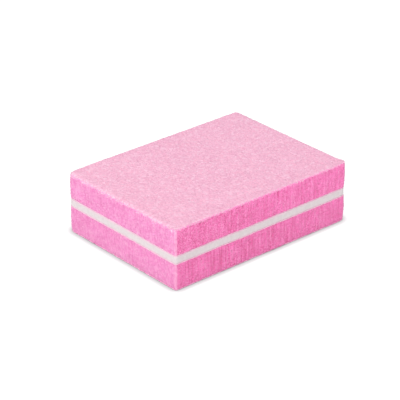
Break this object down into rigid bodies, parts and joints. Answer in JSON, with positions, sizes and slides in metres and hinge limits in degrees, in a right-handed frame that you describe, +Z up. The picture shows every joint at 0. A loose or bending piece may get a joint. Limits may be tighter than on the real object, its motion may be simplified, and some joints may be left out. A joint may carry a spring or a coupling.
{
  "type": "nail buffer block",
  "caption": "Small two-sided nail buffer: soft foam slabs laminated on a stiff core strip, with an abrasive coat on the top and the bottom face.",
  "frame": {"origin": "middle of the underside, on the surface that the block rests on", "axes": "+X along the block's length, +Y across its width, +Z up through the layers, from the bottom abrasive face to the top one"},
  "size_m": [0.035, 0.0258, 0.0101],
  "materials": {
    "abrasive_coat": "pale pink abrasive grain bonded in clear resin, matt with small bright facets",
    "pink_foam": "pink open-celled foam, matt, with fine pores and upright knife-drag lines on its cut sides",
    "core_strip": "off-white sheet, satin, with a clean cut edge",
    "glue_film": "thin clear to cream adhesive, satin"
  },
  "bodies": {
    "root": {"bottom_abrasive": "abrasive_coat", "bottom_foam": "pink_foam", "bottom_glue_film": "glue_film", "core_strip": "core_strip", "top_glue_film": "glue_film", "top_foam": "pink_foam", "top_abrasive": "abrasive_coat"}
  },
  "joints": []
}
